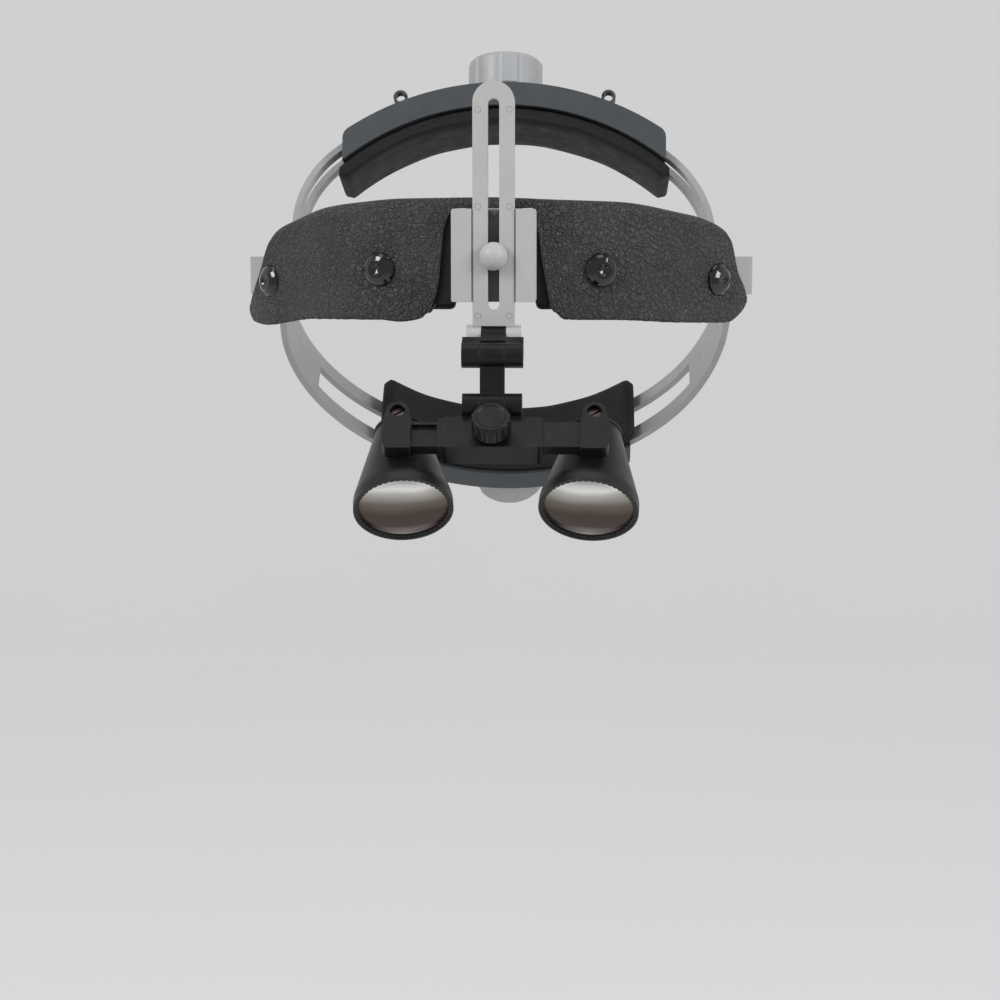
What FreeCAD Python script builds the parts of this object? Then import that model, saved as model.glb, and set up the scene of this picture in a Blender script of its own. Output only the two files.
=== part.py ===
"""Dental loupes on a headband.

Millimetres, +Z up, -Y forward, +X the wearer's left. The origin is the middle of the head
opening at the mid-height of the front band.
"""
import FreeCAD
import Part
import math
import os

V = FreeCAD.Vector
X, Y, Z = V(1, 0, 0), V(0, 1, 0), V(0, 0, 1)
SIDES = (("left", -1), ("right", 1))  # left and right as seen by someone facing the wearer

# ---- fits
RUN = 0.05      # radial clearance of a pin in its bore
GAP = 0.3       # between pieces that move past each other
WALL = 1.6      # moulded shell wall

# ---- front band, leather cover and pads (radii in plan about the origin)
BAND_R = 97.2           # middle of the band over the forehead
BAND_T = 2.4
BAND_HALF = 14.0        # half height over the forehead
BAND_TURN = 60.0        # degrees of forehead arc each side
BAND_SIDE = 86.6        # x of the band's middle at the temples
BAND_END_R = 6.5        # rounded end about the side stud
BAND_TAPER = (-80.0, -60.0)   # y where the band begins and ends narrowing towards the temple
BAND_RELIEF = ((15.4, -15.0), (13.0, -12.0))   # x and z of the step in its lower edge, under the bracket
FLAP_R = (98.9, 100.5)  # outer leather flap
LINER_R = (94.0, 95.4)  # inner leather flap
LEATHER_HALF = 86.0     # half width, seen from the front
LEATHER_TOP, LEATHER_LOW = 20.6, -20.0
LEATHER_CORNER = 14.0   # height where the top edge meets the end
PAD_R = (88.0, 93.6)
PAD_HALF = 17.0
COVER_TURN = 59.4       # degrees of arc each side that both flaps follow
# x and z of the snap caps: the cover is fitted by hand, so they are not quite symmetric
SNAPS = ((-77.8, -6.8), (-38.0, -2.7), (34.4, -3.0), (74.4, -6.2))
CAP_R, CAP_H, SNAP_STUD_R = 5.5, 2.4, 2.0
SOCKET_R, SOCKET_T = 4.6, 1.3

# ---- side studs: everything on the temples turns about them
PIVOT_Y, PIVOT_Z = 0.0, -5.0
STUD_R = 2.5
BUSH_R = 3.5

# ---- slide bracket, bar and clamp knob
BRACKET_X, BRACKET_TOP, BRACKET_LOW = 13.5, 16.5, -13.0
CHANNEL_X = 7.0
FACE_Y = -112.0         # front of the bracket cheeks
FLOOR_Y = -107.6        # floor of the channel
BAR_X = 6.7
BAR_Y = (-111.5, -107.9)
BAR_TOP, BAR_LOW = 56.5, -20.8
SLOT_X = 1.8
SLOT_Z = (-15.5, 51.0)
CLAMP_Z = 1.5
THREAD_R = 1.5
KNOB_DOME_R = 4.5

# ---- three hinges in a row (y, z of each axis)
HINGE_1 = (-110.0, -24.2)
HINGE_2 = (-122.0, -29.5)
HINGE_3 = (-123.7, -45.1)
KNUCKLE_R = (3.3, 4.0, 3.75)
KNUCKLE_OUT = (8.7, 9.7, 9.4)
TONGUE_X = 3.9          # half width of each middle knuckle
FORK_X = 4.0            # inner face of each outer knuckle
PIN_R = 1.25

# ---- bridge, in its own frame: -Y along the line of sight, +Z up out of its top face
DECLINATION = 46.0      # of the line of sight below the horizon
BRIDGE_X, BRIDGE_Y, BRIDGE_H = 15.25, 6.15, 8.4
TRACK_Y = 5.25          # half width of the way for the arms
TRACK_Z = (-5.3, -0.9)
COLLAR = {"left": 1.6, "right": 0.8}
LUG_Y, LUG_Z = 10.0, 0.9   # the third hinge's axis
BRIDGE_TURN = FreeCAD.Rotation(X, DECLINATION)
BRIDGE_AT = V(0, *HINGE_3) - BRIDGE_TURN.multVec(V(0, LUG_Y, LUG_Z))
PD_MODULE, PD_TEETH = 0.6, 8
PD_KNOB_R, PD_KNOB_H = 6.15, 7.2
ARM_Y, ARM_Z = 5.0, (-5.0, -1.2)
ARM_FROM, RACK_TO = 14.3, 8.5
BLOCK_AT = {-1: 29.8, 1: 32.2}          # the pair is set a little to the wearer's left
BLOCK_X, BLOCK_Z, BLOCK_R = 4.4, (-5.0, 0.0), 3.6
BLOCK_FRONT, SCREW_Y = -6.4, 8.7

# ---- barrels, in the bridge's frame
AXIS_Z = -20.0
BARREL_REAR, BARREL_LEN = 15.4, 31.0
REAR_R, FRONT_R = 8.35, 15.85
CONE_LEN = 26.5
BORE_R, RING_R = 14.9, 14.2
LENS_EDGE = 29.5        # where the front lens begins to bulge, along the barrel
TOE_IN = 4.4

# ---- crown and rear adjusters, each in its own frame: arc in XZ about Y, knob on +Z
STRAP_T, STRAP_HALF = 2.2, 11.0
STRAP_GAP = 0.4         # between the two straps where they overlap
STRAP_INNER, SLOT_INNER = -28.0, -23.0   # degrees past the knob
EYE_R = 7.5             # rounded end of a strap
RACK_MODULE, RACK_TEETH = 1.0, 8
SHELL_HALF = 16.0
GUIDE_Y = 11.3
PAD_T = 6.4
WHEEL_R, WHEEL_H = 13.75, 12.0
# r: strap's arc about the knob's axis; end: half length of the housing; eye: x and z of the strap's eye;
# tilt: of the whole adjuster about X; bend and slot: degrees down the side to where each of them ends;
# float: how far the eye slides along its bush each way as the strap is fed
CROWN = dict(name="crown", r=98.0, end=59.0, eye=(76.4, 33.9), tilt=-15.0, bend=39.0, slot=52.0, float=2.1)
REAR = dict(name="rear", r=82.0, end=48.0, eye=(82.4, -15.0), tilt=-137.0, bend=63.0, slot=62.0, float=1.2)
HOOK_ANGLE, HOOK_R, HOOK_T, HOOK_L = 21.4, 1.7, 0.9, 4.0


# ---------------------------------------------------------------- small helpers
def box(x, y, z):
    return Part.makeBox(x[1] - x[0], y[1] - y[0], z[1] - z[0], V(x[0], y[0], z[0]))


def rod(r, start, axis, length):
    return Part.makeCylinder(r, length, start, axis)


def rod_x(r, x, y, z):
    return rod(r, V(x[0], y, z), X, x[1] - x[0])


def tube(r_in, r_out, start, axis, length):
    return rod(r_out, start, axis, length).cut(rod(r_in, start, axis, length))


def prism(points, along):
    """A polygon swept along a vector."""
    return Part.Face(Part.makePolygon(points + points[:1])).extrude(along)


def turned(points, axis=Z):
    """A closed outline turned right round an axis through the origin."""
    return Part.Face(Part.makePolygon(points + points[:1])).revolve(V(), axis, 360)


def ring(radii, z, half_angle):
    """A wall in plan about the origin, between two radii, across the front."""
    (r0, r1), (z0, z1) = radii, z
    outline = [V(0, -r0, z0), V(0, -r1, z0), V(0, -r1, z1), V(0, -r0, z1)]
    wall = Part.Face(Part.makePolygon(outline + outline[:1])).revolve(V(), Z, 2 * half_angle)
    return wall.rotate(V(), Z, -half_angle)


def arc_wall(radii, y_half, start, stop):
    """A wall about the Y axis, with angles from +Z towards +X."""
    r0, r1 = radii
    outline = [V(0, -y_half, r0), V(0, -y_half, r1), V(0, y_half, r1), V(0, y_half, r0)]
    wall = Part.Face(Part.makePolygon(outline + outline[:1])).revolve(V(), Y, stop - start)
    return wall.rotate(V(), Y, start)


def mirrored(shape):
    return shape.mirror(V(), X)


def joined(shapes):
    first = shapes[0]
    return first.multiFuse(shapes[1:]).removeSplitter() if shapes[1:] else first


def without(shape, cutters):
    return shape.cut(cutters)


def rounded(shape, radius, pick):
    """Rounds the edges that pick(edge) chooses."""
    return shape.makeFillet(radius, [e for e in shape.Edges if pick(e)])


def along(edge, axis):
    """Is the edge straight and parallel to the axis?"""
    ends = [v.Point for v in edge.Vertexes]
    if len(ends) < 2 or edge.Curve.TypeId != "Part::GeomLine":
        return False
    return abs(ends[1].sub(ends[0]).normalize().dot(axis)) > 0.999


def in_bridge(shape):
    """From the bridge's frame to the headband's."""
    shape.Placement = FreeCAD.Placement(BRIDGE_AT, BRIDGE_TURN) * shape.Placement
    return shape


def save(name, shapes):
    """One node: one solid, or a group of separate equal pieces."""
    pieces = shapes if isinstance(shapes, list) else [shapes]
    solids = [s for piece in pieces for s in piece.Solids]
    node = solids[0] if len(solids) == 1 else Part.makeCompound(solids)
    assert node.isValid(), name
    node.exportStep("parts/%s.step" % name)


# ---------------------------------------------------------------- gears
def tooth(module, height, at_angle, pitch_r):
    """A plain tooth on a wheel about Z, thinner than the gap it runs in."""
    tip, root, a = 0.24 * math.pi * module / 2, 0.44 * math.pi * module / 2, 0.72 * module
    outline = [V(pitch_r - 1.4 * a, -root, 0), V(pitch_r + a, -tip, 0),
               V(pitch_r + a, tip, 0), V(pitch_r - 1.4 * a, root, 0)]
    return prism(outline, V(0, 0, height)).rotate(V(), Z, at_angle)


def pinion(module, teeth, z, shaft_r, shaft_z):
    pitch_r = module * teeth / 2
    wheel = rod(pitch_r - 0.9 * module, V(0, 0, z[0]), Z, z[1] - z[0])
    cogs = [tooth(module, z[1] - z[0], 360.0 * n / teeth, pitch_r).translate(V(0, 0, z[0]))
            for n in range(teeth)]
    shaft = rod(shaft_r, V(0, 0, shaft_z[0]), Z, shaft_z[1] - shaft_z[0])
    return joined([wheel, shaft] + cogs)


def rack_tooth(module, pitch_y, z):
    """A tooth in the XY plane that points from +Y to the wheel at the origin."""
    tip, root, a = 0.24 * math.pi * module / 2, 0.44 * math.pi * module / 2, 0.72 * module
    outline = [V(-root, pitch_y + 1.3 * a, z[0]), V(root, pitch_y + 1.3 * a, z[0]),
               V(tip, pitch_y - a, z[0]), V(-tip, pitch_y - a, z[0])]
    return prism(outline, V(0, 0, z[1] - z[0]))


# ---------------------------------------------------------------- front band
def band_wire(offset):
    """The band's line in plan, moved outwards, from the right temple to the left."""
    turn = math.radians(BAND_TURN)
    radial = V(math.sin(turn), -math.cos(turn), 0)
    joint = radial * BAND_R
    side_r = (BAND_SIDE - joint.x) / (1 - radial.x)
    centre = joint - radial * side_r
    half = math.radians((90 + BAND_TURN) / 2)
    middle = centre + V(math.sin(half), -math.cos(half), 0) * (side_r + offset)
    end = V(BAND_SIDE + offset, PIVOT_Y + BAND_END_R, 0)
    start = V(BAND_SIDE + offset, centre.y, 0)
    tangent = radial * (BAND_R + offset)

    def flip(p):
        return V(-p.x, p.y, p.z)

    return [Part.LineSegment(end, start).toShape(),
            Part.Arc(start, middle, tangent).toShape(),
            Part.Arc(tangent, V(0, -BAND_R - offset, 0), flip(tangent)).toShape(),
            Part.Arc(flip(tangent), flip(middle), flip(start)).toShape(),
            Part.LineSegment(flip(start), flip(end)).toShape()]


def band_blank():
    outer, inner = band_wire(BAND_T / 2), band_wire(-BAND_T / 2)
    ends = [Part.LineSegment(a, b).toShape() for a, b in
            ((outer[-1].Vertexes[-1].Point, inner[-1].Vertexes[-1].Point),
             (outer[0].Vertexes[0].Point, inner[0].Vertexes[0].Point))]
    plan = Part.Wire(Part.__sortEdges__(outer + inner + ends))
    blank = Part.Face(plan).extrude(V(0, 0, 2 * BAND_HALF)).translate(V(0, 0, -BAND_HALF))
    high, low = PIVOT_Z + BAND_END_R, PIVOT_Z - BAND_END_R
    wide, narrow = BAND_TAPER
    side = prism([V(-120, -120, -BAND_HALF), V(-120, -120, BAND_HALF), V(-120, wide, BAND_HALF),
                  V(-120, narrow, high), V(-120, PIVOT_Y, high), V(-120, PIVOT_Y, low),
                  V(-120, narrow, low), V(-120, wide, -BAND_HALF)], V(240, 0, 0))
    end = rod_x(BAND_END_R, (-120, 120), PIVOT_Y, PIVOT_Z)
    return blank.common(joined([side, end]))


def snap_frames():
    """Plan angle from straight ahead and height of each snap."""
    return [(math.degrees(math.asin(x / FLAP_R[1])), z) for x, z in SNAPS]


def at_snap(shape, turn, z):
    """Moves a shape made about the -Y axis to a snap."""
    return shape.copy().rotate(V(), Z, turn).translate(V(0, 0, z))


def snap_holes(radius, r_from, r_to):
    hole = rod(radius, V(0, -r_from, 0), -Y, r_to - r_from)
    return [at_snap(hole, turn, z) for turn, z in snap_frames()]


def band_relief():
    """The band's lower edge steps up under the bracket, with sloping ends."""
    (foot, low), (top, high) = BAND_RELIEF
    return prism([V(-foot, -120, low), V(-top, -120, high), V(top, -120, high), V(foot, -120, low)],
                 V(0, 40, 0))


def front_band():
    screw_holes = [rod(THREAD_R + RUN, V(0, -90, z), -Y, 12) for z in bracket_screw_heights()]
    stud_hole = rod_x(STUD_R + RUN, (-120, 120), PIVOT_Y, PIVOT_Z)
    nut_way = rod(THREAD_R + 0.8, V(0, -94, CLAMP_Z), -Y, 8)
    holes = screw_holes + snap_holes(SNAP_STUD_R + 0.1, 90, 105) + [stud_hole, nut_way, band_relief()]
    return without(band_blank(), holes)


def top_curve(drop, reach):
    """The leather's top edge: highest over the nose, lower towards the temples."""
    fall = (LEATHER_TOP - LEATHER_CORNER) * (reach / LEATHER_HALF) ** 2
    return Part.Arc(V(-reach, -120, LEATHER_TOP - fall - drop), V(0, -120, LEATHER_TOP - drop),
                    V(reach, -120, LEATHER_TOP - fall - drop)).toShape()


def leather_outline():
    """Front view of the cover, as a block through the forehead."""
    reach, foot = LEATHER_HALF - 2.5, LEATHER_HALF
    top = top_curve(0, reach)
    left, right = top.Vertexes[0].Point, top.Vertexes[-1].Point
    corner_r, foot_r = V(reach, -120, LEATHER_LOW), V(foot, -120, -12.0)
    corner_l, foot_l = V(-reach, -120, LEATHER_LOW), V(-foot, -120, -12.0)
    shoulder = V(1.8, 0, -5.0)
    right_low = right + shoulder
    left_low = left + V(-shoulder.x, 0, shoulder.z)
    rest = Part.makePolygon([right, right_low, foot_r, corner_r, corner_l, foot_l, left_low, left])
    block = Part.Face(Part.Wire([top] + rest.Edges)).extrude(V(0, 90, 0))
    return rounded(block, 3.0, lambda e: along(e, Y) and abs(e.Vertexes[0].Point.x) > 80)


def notch():
    """The opening in the outer flap for the slide bracket."""
    right = [V(0, -120, 18.6), V(8, -120, 18.1), V(13.6, -120, 15.2), V(15.9, -120, 3),
             V(17.8, -120, -12), V(23.5, -120, LEATHER_LOW - 0.6)]
    left = [V(-p.x, p.y, p.z) for p in right[:0:-1]]
    curve = Part.BSplineCurve()
    curve.interpolate(left + right)
    low = [V(23.5, -120, -40), V(-23.5, -120, -40)]
    edges = [curve.toShape()] + Part.makePolygon([right[-1]] + low + [left[0]]).Edges
    return Part.Face(Part.Wire(edges)).extrude(V(0, 90, 0))


def leather_cover():
    block = leather_outline()
    cover = ring((LINER_R[0], FLAP_R[1]), (-40, 40), COVER_TURN).common(block)
    top = top_curve(WALL, 130.0)
    rest = Part.makePolygon([V(top.Vertexes[-1].Point), V(130, -120, -60), V(-130, -120, -60),
                             V(top.Vertexes[0].Point)])
    pocket = Part.Face(Part.Wire([top] + rest.Edges)).extrude(V(0, 120, 0))
    pocket = pocket.common(ring((LINER_R[1], FLAP_R[0]), (-60, 40), 80))
    window = notch().common(ring((FLAP_R[0] - 0.1, FLAP_R[1] + 5), (-60, 40), 60))
    bosses = [rod(3.4, V(0, -90, z), -Y, 6.5) for z in bracket_screw_heights()]
    bosses.append(rod(THREAD_R + 0.8, V(0, -90, CLAMP_Z), -Y, 6.5))
    return without(cover, [pocket, window] + bosses + snap_holes(SNAP_STUD_R + 0.1, 90, 105))


def brow_pad(side):
    blank = ring(PAD_R, (-PAD_HALF, PAD_HALF), 60)
    blank = blank.common(box((8.0, 66.0), (-120, 0), (-40, 40)))
    pad = blank if side > 0 else mirrored(blank)
    return pad.cut(snap_holes(SOCKET_R + 0.4, PAD_R[1] - SOCKET_T - 0.5, PAD_R[1] + 1))


def snap_cap():
    """A domed cap with a dimple, and its stud."""
    r, h = CAP_R, CAP_H
    dome = [V(0, 0, 0), V(r, 0, 0), V(r, 0, 0.5), V(r - 0.4, 0, 1.1), V(r - 1.3, 0, 1.8),
            V(r - 2.6, 0, h), V(1.9, 0, h), V(1.3, 0, h - 0.5), V(0, 0, h - 0.8)]
    cap = turned(dome).fuse(rod(SNAP_STUD_R, V(0, 0, -7.2), Z, 7.6)).removeSplitter()
    return cap.rotate(V(), X, 90).translate(V(0, -FLAP_R[1], 0))


def snap_socket():
    rim = tube(SNAP_STUD_R + RUN, SOCKET_R, V(0, -LINER_R[0] + 0.1, 0), Y, SOCKET_T)
    groove = tube(2.8, 3.6, V(0, -LINER_R[0] + SOCKET_T - 0.3, 0), Y, 1)
    return rim.cut(groove)


# ---------------------------------------------------------------- bracket and bar
def bracket_screw_heights():
    return (CLAMP_Z - 9.0, CLAMP_Z + 9.0)


def slide_bracket():
    """Two cheeks on a base that sits on the band."""
    body = box((-BRACKET_X, BRACKET_X), (FACE_Y, -90), (BRACKET_LOW, BRACKET_TOP))
    body = rounded(body, 0.8, lambda e: along(e, Y))
    body = body.cut(rod(BAND_R + BAND_T / 2 + 0.2, V(0, 0, -60), Z, 120))
    channel = box((-CHANNEL_X, CHANNEL_X), (FACE_Y - 1, FLOOR_Y + 2.2), (-60, 60))
    nut = prism([V(3.3 * math.cos(a), FLOOR_Y + 2, CLAMP_Z + 3.3 * math.sin(a))
                 for a in (math.radians(60 * n) for n in range(6))], V(0, 2.8, 0))
    way = rod(THREAD_R + 0.8, V(0, FLOOR_Y, CLAMP_Z), Y, 12)
    screws = [rod(THREAD_R, V(0, -97, z), -Y, 7.2) for z in bracket_screw_heights()]
    return without(body, [channel, nut, way] + screws)


def bracket_backplate():
    """The channel's floor, with two round lobes at the top."""
    half = CHANNEL_X - 0.1
    plate = box((-half, half), (FLOOR_Y, FLOOR_Y + 2), (BRACKET_LOW, BRACKET_TOP - half / 2))
    lobes = [rod(half / 2, V(x, FLOOR_Y, BRACKET_TOP - half / 2), Y, 2) for x in (-half / 2, half / 2)]
    return joined([plate] + lobes).cut(rod(THREAD_R + 0.3, V(0, FLOOR_Y - 1, CLAMP_Z), Y, 5))


def bracket_screw(z):
    """A pan-head screw driven from inside the band."""
    head = rod(2.8, V(0, -95.9, z), Y, 1.4)
    head = head.cut(box((-0.4, 0.4), (-95.1, -94), (z - 2, z + 2))).cut(
        box((-2, 2), (-95.1, -94), (z - 0.4, z + 0.4)))
    return head.fuse(rod(THREAD_R, V(0, -95.9, z), -Y, 8.1))


def clamp_nut():
    hexagon = prism([V(3.2 * math.cos(a), FLOOR_Y + 2.2, CLAMP_Z + 3.2 * math.sin(a))
                     for a in (math.radians(60 * n) for n in range(6))], V(0, 2.4, 0))
    return hexagon.cut(rod(THREAD_R + RUN, V(0, FLOOR_Y, CLAMP_Z), Y, 10))


def thumb_knob():
    """A smooth dome that presses on the bar, moulded on a threaded stud."""
    neck = 1.6
    pieces = [rod(KNOB_DOME_R, V(), Z, neck), cap_of(KNOB_DOME_R, 3.3, neck), rod(THREAD_R, V(), -Z, 11.4)]
    return joined(pieces).rotate(V(), X, 90).translate(V(0, BAR_Y[0] - GAP, CLAMP_Z))


def slide_bar():
    """A flat bar with a round top, a long slot and a fork for the first hinge."""
    y, depth = BAR_Y[0], BAR_Y[1] - BAR_Y[0]
    bar = joined([box((-BAR_X, BAR_X), BAR_Y, (BAR_LOW, BAR_TOP - BAR_X)),
                  rod(BAR_X, V(0, y, BAR_TOP - BAR_X), Y, depth)])
    low, high = SLOT_Z[0] + SLOT_X, SLOT_Z[1] - SLOT_X
    slot = joined([box((-SLOT_X, SLOT_X), (y - 1, y + depth + 1), (low, high)),
                   rod(SLOT_X, V(0, y - 1, low), Y, depth + 2),
                   rod(SLOT_X, V(0, y - 1, high), Y, depth + 2)])
    marks = [tube(0.85, 1.05, V(x, y - 0.1, z), Y, 0.2) for x in (-5.0, 5.0)
             for z in (SLOT_Z[0] - 2.0, CLAMP_Z + 15.5, SLOT_Z[1] - 3.5)]
    hy, hz = HINGE_1
    bar = without(bar, [slot] + marks)
    neck = box((-KNUCKLE_OUT[0], KNUCKLE_OUT[0]), (hy - 1.4, BAR_Y[1]), (hz, BAR_LOW + 0.5))
    fork = joined([bar, neck, rod_x(KNUCKLE_R[0], (-KNUCKLE_OUT[0], KNUCKLE_OUT[0]), hy, hz)])
    tongue_way = joined([rod_x(KNUCKLE_R[0] + GAP, (-FORK_X, FORK_X), hy, hz),
                         box((-FORK_X, FORK_X), (hy - 12, hy), (hz - 12, hz + KNUCKLE_R[0] + GAP))])
    return without(fork, [tongue_way, rod_x(PIN_R, (-20, 20), hy, hz)])


# ---------------------------------------------------------------- hinge links
def strut(a, b, thick, x):
    """A flat bar between two axes in the YZ plane."""
    run = V(0, b[0] - a[0], b[1] - a[1])
    across = X.cross(run).normalize() * (thick / 2)
    p, q = V(x[0], *a), V(x[0], *b)
    return prism([p + across, q + across, q - across, p - across], V(x[1] - x[0], 0, 0))


def between(a, b, distance_from_b):
    """The point on the way from a to b that is so far from b."""
    run = math.dist(a, b)
    return tuple(q + (p - q) * distance_from_b / run for p, q in zip(a, b))


def upper_link():
    """Tongue at the first hinge, fork at the second."""
    tongue, r = (-TONGUE_X, TONGUE_X), KNUCKLE_R
    web_near, web_far = between(HINGE_1, HINGE_2, r[1] + GAP), between(HINGE_1, HINGE_2, r[1] + 2.9)
    out = KNUCKLE_OUT[1]
    pieces = [rod_x(r[0], tongue, *HINGE_1), strut(HINGE_1, web_near, 5.0, tongue),
              strut(web_far, web_near, 6.2, (-out, out))]
    for x in ((-out, -FORK_X), (FORK_X, out)):
        pieces += [rod_x(r[1], x, *HINGE_2), strut(web_near, HINGE_2, 6.2, x)]
    way = rod_x(r[1] + GAP, (-FORK_X, FORK_X), *HINGE_2)
    bores = [rod_x(PIN_R + RUN, (-20, 20), *HINGE_1), rod_x(PIN_R, (-20, 20), *HINGE_2)]
    return without(joined(pieces), [way] + bores)


def lower_link():
    """A flat strip with a tongue at each end."""
    tongue = (-TONGUE_X, TONGUE_X)
    pieces = [rod_x(KNUCKLE_R[1], tongue, *HINGE_2), rod_x(KNUCKLE_R[2], tongue, *HINGE_3),
              strut(HINGE_2, HINGE_3, 3.2, tongue)]
    bores = [rod_x(PIN_R + RUN, (-20, 20), *at) for at in (HINGE_2, HINGE_3)]
    return without(joined(pieces), bores)


def hinge_pin(number):
    """A dowel with a coined dimple in each end, just inside the knuckles."""
    half = KNUCKLE_OUT[number] - 0.3
    at = (HINGE_1, HINGE_2, HINGE_3)[number]
    pin = rod_x(PIN_R, (-half, half), *at)
    dimples = [rod_x(0.5, (side * half - 0.3, side * half + 0.3), *at) for side in (-1, 1)]
    return without(pin, dimples)


# ---------------------------------------------------------------- bridge (its own frame)
def bridge_housing():
    block = box((-BRIDGE_X, BRIDGE_X), (-BRIDGE_Y, BRIDGE_Y), (-BRIDGE_H, 0))
    block = rounded(block, 1.0, lambda e: along(e, Z))
    collars = [box((-BRIDGE_X - COLLAR["left"], 0), (-5.75, 5.75), (-7.0, -0.4)),
               box((0, BRIDGE_X + COLLAR["right"]), (-5.75, 5.75), (-7.0, -0.4))]
    lugs = []
    for x in ((-KNUCKLE_OUT[2], -FORK_X), (FORK_X, KNUCKLE_OUT[2])):
        lugs += [rod_x(KNUCKLE_R[2], x, LUG_Y, LUG_Z),
                 box(x, (BRIDGE_Y - 0.5, LUG_Y), (LUG_Z - KNUCKLE_R[2], 0.0))]
    body = joined([block] + collars + lugs)
    cutters = [box((-30, 30), (-TRACK_Y, TRACK_Y), TRACK_Z),
               box((-BRIDGE_X + 1.2, BRIDGE_X - 1.2), (-TRACK_Y + 0.4, TRACK_Y - 0.4),
                   (-BRIDGE_H - 1, TRACK_Z[0] + 0.1)),
               rod_x(KNUCKLE_R[2] + GAP, (-FORK_X, FORK_X), LUG_Y, LUG_Z),
               rod_x(PIN_R, (-20, 20), LUG_Y, LUG_Z), rod(1.5 + RUN, V(0, 0, -3), Z, 5)]
    return without(body, cutters)


def bridge_cover():
    """The plate that is pressed into the housing from below."""
    half_x, half_y = BRIDGE_X - 1.25, TRACK_Y - 0.45
    return box((-half_x, half_x), (-half_y, half_y), (-BRIDGE_H, TRACK_Z[0]))


def pd_knob():
    """A fluted knob with a shallow dish in its top."""
    low, r, h = GAP, PD_KNOB_R, PD_KNOB_H
    body = turned([V(0, 0, low), V(r - 0.9, 0, low), V(r - 0.7, 0, low + 0.4), V(r, 0, low + 1.4),
                   V(r, 0, low + h - 0.9), V(r - 0.7, 0, low + h), V(r - 1.5, 0, low + h),
                   V(r - 1.9, 0, low + h - 0.35), V(0, 0, low + h - 0.35)])
    flutes = [rod(0.62, V(r + 0.18, 0, low - 1), Z, h + 3).rotate(V(), Z, 22.5 * n) for n in range(16)]
    return without(body, flutes + [rod(1.5, V(0, 0, -1), Z, 5)])


def pd_pinion():
    return pinion(PD_MODULE, PD_TEETH, (ARM_Z[0] + 0.2, ARM_Z[1] - 0.2), 1.5, (TRACK_Z[0] + 0.3, 4.0))


def arm(side):
    """A sliding arm: an end block, a beam and a rack. Made as the right one."""
    # the right rack runs in front of the pinion, the left one behind it
    pitch = PD_MODULE * PD_TEETH / 2
    tip, root = pitch - 0.72 * PD_MODULE, pitch + 0.9 * PD_MODULE
    far = BLOCK_AT[side]
    beam = box((ARM_FROM, far), (-ARM_Y, ARM_Y), ARM_Z)
    rail = box((-RACK_TO, ARM_FROM + 1), (root, ARM_Y), ARM_Z)
    step = math.pi * PD_MODULE
    count = int(RACK_TO / step)
    teeth = [rack_tooth(PD_MODULE, pitch, ARM_Z).translate(V(step * (n + 0.5), 0, 0))
             for n in range(-count, count)]
    rack = joined([rail] + teeth)
    if side > 0:
        rack = rack.mirror(V(), Y)
    height = BLOCK_Z[1] - BLOCK_Z[0]
    plan = [V(far + x, y, BLOCK_Z[0]) for x, y in
            ((-BLOCK_X, BLOCK_FRONT), (BLOCK_X, BLOCK_FRONT), (BLOCK_X, SCREW_Y - 4.4),
             (BLOCK_R, SCREW_Y), (-BLOCK_R, SCREW_Y), (-BLOCK_X, SCREW_Y - 4.4))]
    block = prism(plan, V(0, 0, height))
    block = rounded(block, 2.2, lambda e: along(e, Z) and e.Vertexes[0].Point.y < 0
                    and e.Vertexes[0].Point.x > far)
    block = block.fuse(rod(BLOCK_R, V(far, SCREW_Y, BLOCK_Z[0]), Z, height))
    cutters = [rod(2.4, V(far, SCREW_Y, -2.8), Z, 5), rod(PIN_R, V(far, SCREW_Y, -9), Z, 9)]
    if side < 0:
        cutters.append(box((COLLAR["left"] + BRIDGE_X + 0.4, far - BLOCK_X - 0.2),
                           (-ARM_Y + 1.2, ARM_Y - 1.2), (ARM_Z[1] - 1.3, 1)))
    made = without(joined([beam, rack, block]), cutters)
    return made if side > 0 else mirrored(made)


def pivot_screw(side):
    """The slotted shoulder screw that a barrel swings on."""
    x = side * BLOCK_AT[side]
    head = rod(2.1, V(x, SCREW_Y, -2.8), Z, 1.3)
    slot = box((x - 3, x + 3), (SCREW_Y - 0.3, SCREW_Y + 0.3), (-2.1, -1))
    head = head.cut(slot.rotate(V(x, SCREW_Y, 0), Z, 35))
    return head.fuse(rod(PIN_R, V(x, SCREW_Y, -8.6), Z, 6.0))


# ---------------------------------------------------------------- barrels (bridge's frame)
def to_barrel(shape, side):
    """From a barrel's own frame, with Z from the eye to the work, to the bridge's."""
    shape.rotate(V(), X, 90)
    shape.translate(V(0, BARREL_REAR, AXIS_Z))
    return swing(shape, side)


def swing(shape, side):
    shape.rotate(V(0, SCREW_Y, 0), Z, -side * TOE_IN)
    return shape.translate(V(side * BLOCK_AT[side], 0, 0))


def barrel_skin(extra):
    """The outside of the cone, made fatter by extra."""
    e = extra
    return turned([V(0, 0, -e), V(REAR_R + e, 0, -e), V(REAR_R + e, 0, 0.6),
                   V(FRONT_R - 0.25 + e, 0, CONE_LEN), V(FRONT_R + e, 0, CONE_LEN + 1.5),
                   V(FRONT_R + e, 0, BARREL_LEN), V(0, 0, BARREL_LEN)])


def barrel_shell():
    seat = LENS_EDGE - 4.2
    inside = turned([V(0, 0, -1), V(7.0, 0, -1), V(7.0, 0, 3.2), V(6.2, 0, 3.2), V(6.2, 0, 4.4),
                     V(13.0, 0, seat), V(BORE_R, 0, seat), V(BORE_R, 0, BARREL_LEN + 1),
                     V(0, 0, BARREL_LEN + 1)])
    rim_step = tube(BORE_R, BORE_R + 0.25, V(0, 0, BARREL_LEN - 0.3), Z, 1)
    return barrel_skin(0).cut([inside, rim_step])


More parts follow.
